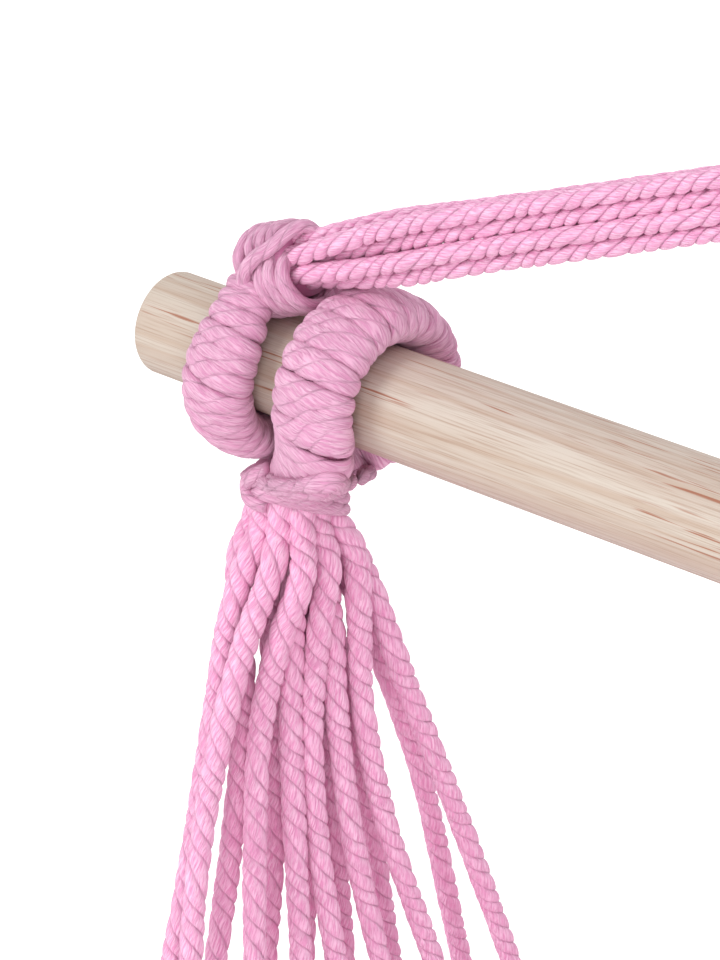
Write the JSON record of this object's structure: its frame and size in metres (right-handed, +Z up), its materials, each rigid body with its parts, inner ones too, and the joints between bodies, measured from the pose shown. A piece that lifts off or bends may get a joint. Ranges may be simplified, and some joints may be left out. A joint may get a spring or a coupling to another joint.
{
  "type": "hammock chair",
  "caption": "Hanging hammock chair: a round wooden spreader bar held in wrapped cord eyes below a hanging loop, with a slung, folded cotton seat on fanned cords.",
  "frame": {"origin": "inside of the top of the top eye, where the hook or carabiner bears", "axes": "+Z up, +X along the spreader bar towards the chair's left-hand end as a sitter faces -Y, -Y towards the front"},
  "size_m": [1, 0.6754, 1.1771],
  "materials": {
    "pine": "sanded bare pine, matt",
    "cotton_cord": "three-strand twisted cotton, pink, matt",
    "cotton_bundle": "bundled pink cotton cord under the wraps, matt",
    "cotton_cloth": "pink woven cotton, matt"
  },
  "bodies": {
    "hanger": {"top_eye_core": "cotton_bundle", "top_eye_wrap": "cotton_cord", "top_eye_whipping": "cotton_cord", "hanger_eye_core_left": "cotton_bundle", "hanger_eye_core_right": "cotton_bundle", "hanger_eye_wrap_left": "cotton_cord", "hanger_eye_wrap_right": "cotton_cord", "hanger_eye_whipping_left": "cotton_cord", "hanger_eye_whipping_right": "cotton_cord", "hanger_cord_1_left": "cotton_cord", "hanger_cord_1_right": "cotton_cord", "hanger_cord_2_left": "cotton_cord", "hanger_cord_2_right": "cotton_cord", "hanger_cord_3_left": "cotton_cord", "hanger_cord_3_right": "cotton_cord", "hanger_cord_4_left": "cotton_cord", "hanger_cord_4_right": "cotton_cord", "hanger_cord_5_left": "cotton_cord", "hanger_cord_5_right": "cotton_cord", "hanger_cord_6_left": "cotton_cord", "hanger_cord_6_right": "cotton_cord", "hanger_cord_7_left": "cotton_cord", "hanger_cord_7_right": "cotton_cord"},
    "bar": {"spreader_bar": "pine"},
    "seat": {"seat_eye_core_left": "cotton_bundle", "seat_eye_core_right": "cotton_bundle", "seat_eye_wrap_left": "cotton_cord", "seat_eye_wrap_right": "cotton_cord", "seat_eye_whipping_left": "cotton_cord", "seat_eye_whipping_right": "cotton_cord", "seat_cord_1_left": "cotton_cord", "seat_cord_1_right": "cotton_cord", "seat_cord_2_left": "cotton_cord", "seat_cord_2_right": "cotton_cord", "seat_cord_3_left": "cotton_cord", "seat_cord_3_right": "cotton_cord", "seat_cord_4_left": "cotton_cord", "seat_cord_4_right": "cotton_cord", "seat_cord_5_left": "cotton_cord", "seat_cord_5_right": "cotton_cord", "seat_cord_6_left": "cotton_cord", "seat_cord_6_right": "cotton_cord", "seat_cord_7_left": "cotton_cord", "seat_cord_7_right": "cotton_cord", "seat_cord_8_left": "cotton_cord", "seat_cord_8_right": "cotton_cord", "seat_cord_9_left": "cotton_cord", "seat_cord_9_right": "cotton_cord", "seat_cord_10_left": "cotton_cord", "seat_cord_10_right": "cotton_cord", "seat_cord_11_left": "cotton_cord", "seat_cord_11_right": "cotton_cord", "seat_cord_12_left": "cotton_cord", "seat_cord_12_right": "cotton_cord", "seat_cord_13_left": "cotton_cord", "seat_cord_13_right": "cotton_cord", "seat_cord_14_left": "cotton_cord", "seat_cord_14_right": "cotton_cord", "seat_fabric": "cotton_cloth"}
  },
  "joints": [
    {"name": "bar_spin", "type": "hinge", "parent": "hanger", "child": "bar", "pos_m": [0, 0, -0.31649], "axis": [1, 0, 0], "continuous": true},
    {"name": "seat_swing", "type": "hinge", "parent": "hanger", "child": "seat", "pos_m": [0, 0, -0.31649], "axis": [1, 0, 0], "range_deg": [-25, 25]}
  ]
}
